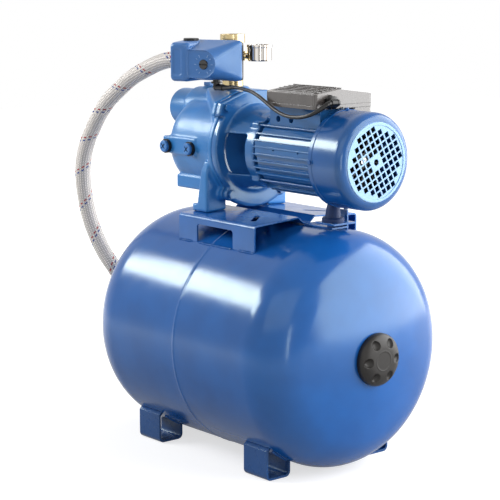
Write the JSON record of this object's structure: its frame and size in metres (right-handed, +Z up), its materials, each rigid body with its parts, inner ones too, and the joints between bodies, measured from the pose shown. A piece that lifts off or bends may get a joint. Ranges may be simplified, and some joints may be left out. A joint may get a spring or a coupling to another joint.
{
  "type": "booster pump set",
  "caption": "Self-priming electric pump on a lying membrane pressure tank, with pressure switch, gauge and braided hose.",
  "frame": {"origin": "on the floor, under the middle of the set between the hose elbow and the air valve cap", "axes": "+X along the tank to the fan end, -Y to the pressure switch's side, +Z up"},
  "size_m": [0.723, 0.3924, 0.697],
  "materials": {
    "tank_paint": "glossy blue stove enamel",
    "cast_paint": "satin blue paint on a casting",
    "sheet_paint": "glossy blue paint on sheet steel",
    "plug_paint": "blue painted plug",
    "steel": "zinc-plated steel",
    "brass": "turned brass",
    "chrome": "polished",
    "rubber": "matt black rubber",
    "black_plastic": "fine moulded grain",
    "grey_plastic": "moulded grey plastic",
    "blue_plastic": "moulded blue plastic",
    "white_plastic": "moulded ivory plastic",
    "core_steel": "stacked steel sheet",
    "copper": "varnished copper wire",
    "dial": "white dial",
    "glass": "clear",
    "braid": "silver braid on rubber"
  },
  "bodies": {
    "set": {"tank_shell_front": "tank_paint", "tank_shell_rear": "tank_paint", "tank_membrane": "rubber", "tank_flange": "steel", "flange_bolts": "steel", "air_valve": "brass", "tank_feet": "tank_paint", "pump_saddle": "sheet_paint", "motor_support": "sheet_paint", "motor_foot": "rubber", "saddle_bolts": "steel", "pump_body": "cast_paint", "side_plugs": "plug_paint", "plug_washers": "rubber", "fill_plug": "plug_paint", "drain_plug": "plug_paint", "ejector": "white_plastic", "diffuser": "white_plastic", "seal_seat": "white_plastic", "body_o_ring": "rubber", "adapter": "cast_paint", "flange_screws": "steel", "stator_core": "core_steel", "stator_windings": "copper", "front_bearing": "chrome", "rear_bearing": "chrome", "motor_frame": "cast_paint", "rear_shield": "cast_paint", "tie_rods": "steel", "fan_cover": "sheet_paint", "fan_cover_screws": "steel", "terminal_box_base": "grey_plastic", "terminal_box_lid": "grey_plastic", "lid_screws": "steel", "capacitor": "white_plastic", "terminal_strip": "white_plastic", "motor_gland": "black_plastic", "five_way_fitting": "brass", "switch_base": "black_plastic", "switch_contacts": "white_plastic", "switch_cover": "blue_plastic", "switch_gland_top": "rubber", "switch_gland_bottom": "rubber", "gauge_case": "chrome", "gauge_movement": "brass", "gauge_dial": "dial", "gauge_glass": "glass", "hose_top_end": "steel", "hose_bottom_end": "steel", "hose_elbow": "steel", "hose": "braid", "lead": "rubber"},
    "rotor": {"shaft": "steel", "rotor_core": "core_steel", "impeller": "brass", "seal_head": "steel", "fan": "black_plastic"},
    "knob": {"switch_knob": "black_plastic"},
    "needle": {"gauge_needle": "black_plastic"},
    "valve_cap": {"air_valve_cap": "black_plastic"}
  },
  "joints": [
    {"name": "rotor_spin", "type": "hinge", "parent": "set", "child": "rotor", "pos_m": [0.054, 0, 0.511], "axis": [1, 0, 0], "continuous": true},
    {"name": "knob_turn", "type": "hinge", "parent": "set", "child": "knob", "pos_m": [-0.00545, -0.07717, 0.65], "axis": [0.3746, -0.9272, 0], "range_deg": [-180, 180]},
    {"name": "needle_turn", "type": "hinge", "parent": "set", "child": "needle", "pos_m": [0.01975, 0.01929, 0.667], "axis": [0, 0, 1], "range_deg": [-270, 0]},
    {"name": "valve_cap_off", "type": "slide", "parent": "set", "child": "valve_cap", "axis": [1, 0, 0], "range_m": [0, 0.03]}
  ]
}
